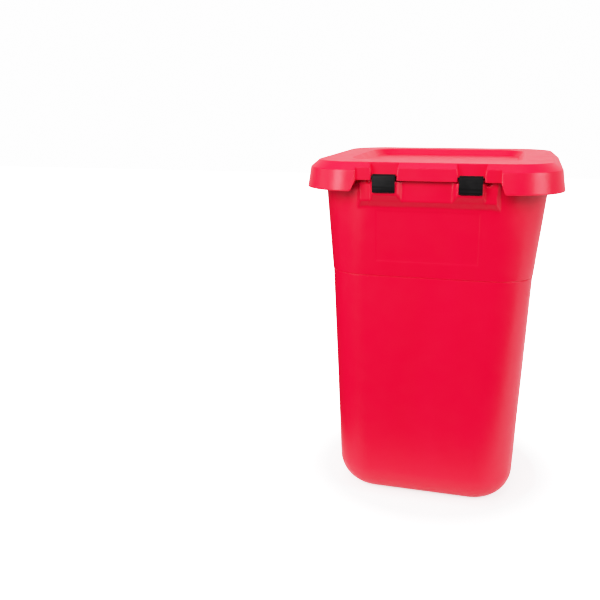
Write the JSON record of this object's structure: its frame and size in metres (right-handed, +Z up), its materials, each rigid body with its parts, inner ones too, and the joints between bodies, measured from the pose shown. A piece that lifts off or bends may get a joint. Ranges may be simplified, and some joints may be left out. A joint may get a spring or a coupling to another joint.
{
  "type": "sharps container",
  "caption": "Tapered square red plastic waste bin with a deep-skirted hinged lid, black snap latches on the front, hinge clips at the back and a stacking recess on top.",
  "frame": {"origin": "centre of the tub's flat base, on the surface it stands on", "axes": "+Z up through the middle of the container, its longest extent; -Y is the front with the latches, +Y the hinge side, X across"},
  "size_m": [0.5058, 0.5058, 0.73],
  "materials": {
    "tub_plastic": "moulded red polyethylene, satin, fine grain",
    "lid_plastic": "moulded red polyethylene, satin with a soft sheen on top",
    "clip_plastic": "black nylon, satin",
    "seal_rubber": "dark soft foam rubber",
    "pin_steel": "black-oxide drawn steel rod"
  },
  "bodies": {
    "tub": {"tub": "tub_plastic", "hinge_pin_left": "pin_steel", "hinge_pin_right": "pin_steel"},
    "lid": {"lid": "lid_plastic", "lid_seal": "seal_rubber", "latch_pin_left": "pin_steel", "latch_pin_right": "pin_steel", "hinge_clip_left": "clip_plastic", "hinge_clip_right": "clip_plastic", "hinge_clip_keeper_pin_left": "pin_steel", "hinge_clip_keeper_pin_right": "pin_steel"},
    "latch_left": {"latch_left": "clip_plastic"},
    "latch_right": {"latch_right": "clip_plastic"}
  },
  "joints": [
    {"name": "lid_hinge", "type": "hinge", "parent": "tub", "child": "lid", "pos_m": [0, 0.2435, 0.6923], "axis": [-1, 0, 0], "range_deg": [0, 105]},
    {"name": "latch_left_hinge", "type": "hinge", "parent": "lid", "child": "latch_left", "pos_m": [-0.082, -0.2373, 0.702], "axis": [-1, 0, 0], "range_deg": [0, 180]},
    {"name": "latch_right_hinge", "type": "hinge", "parent": "lid", "child": "latch_right", "pos_m": [0.082, -0.2373, 0.702], "axis": [-1, 0, 0], "range_deg": [0, 180]}
  ]
}
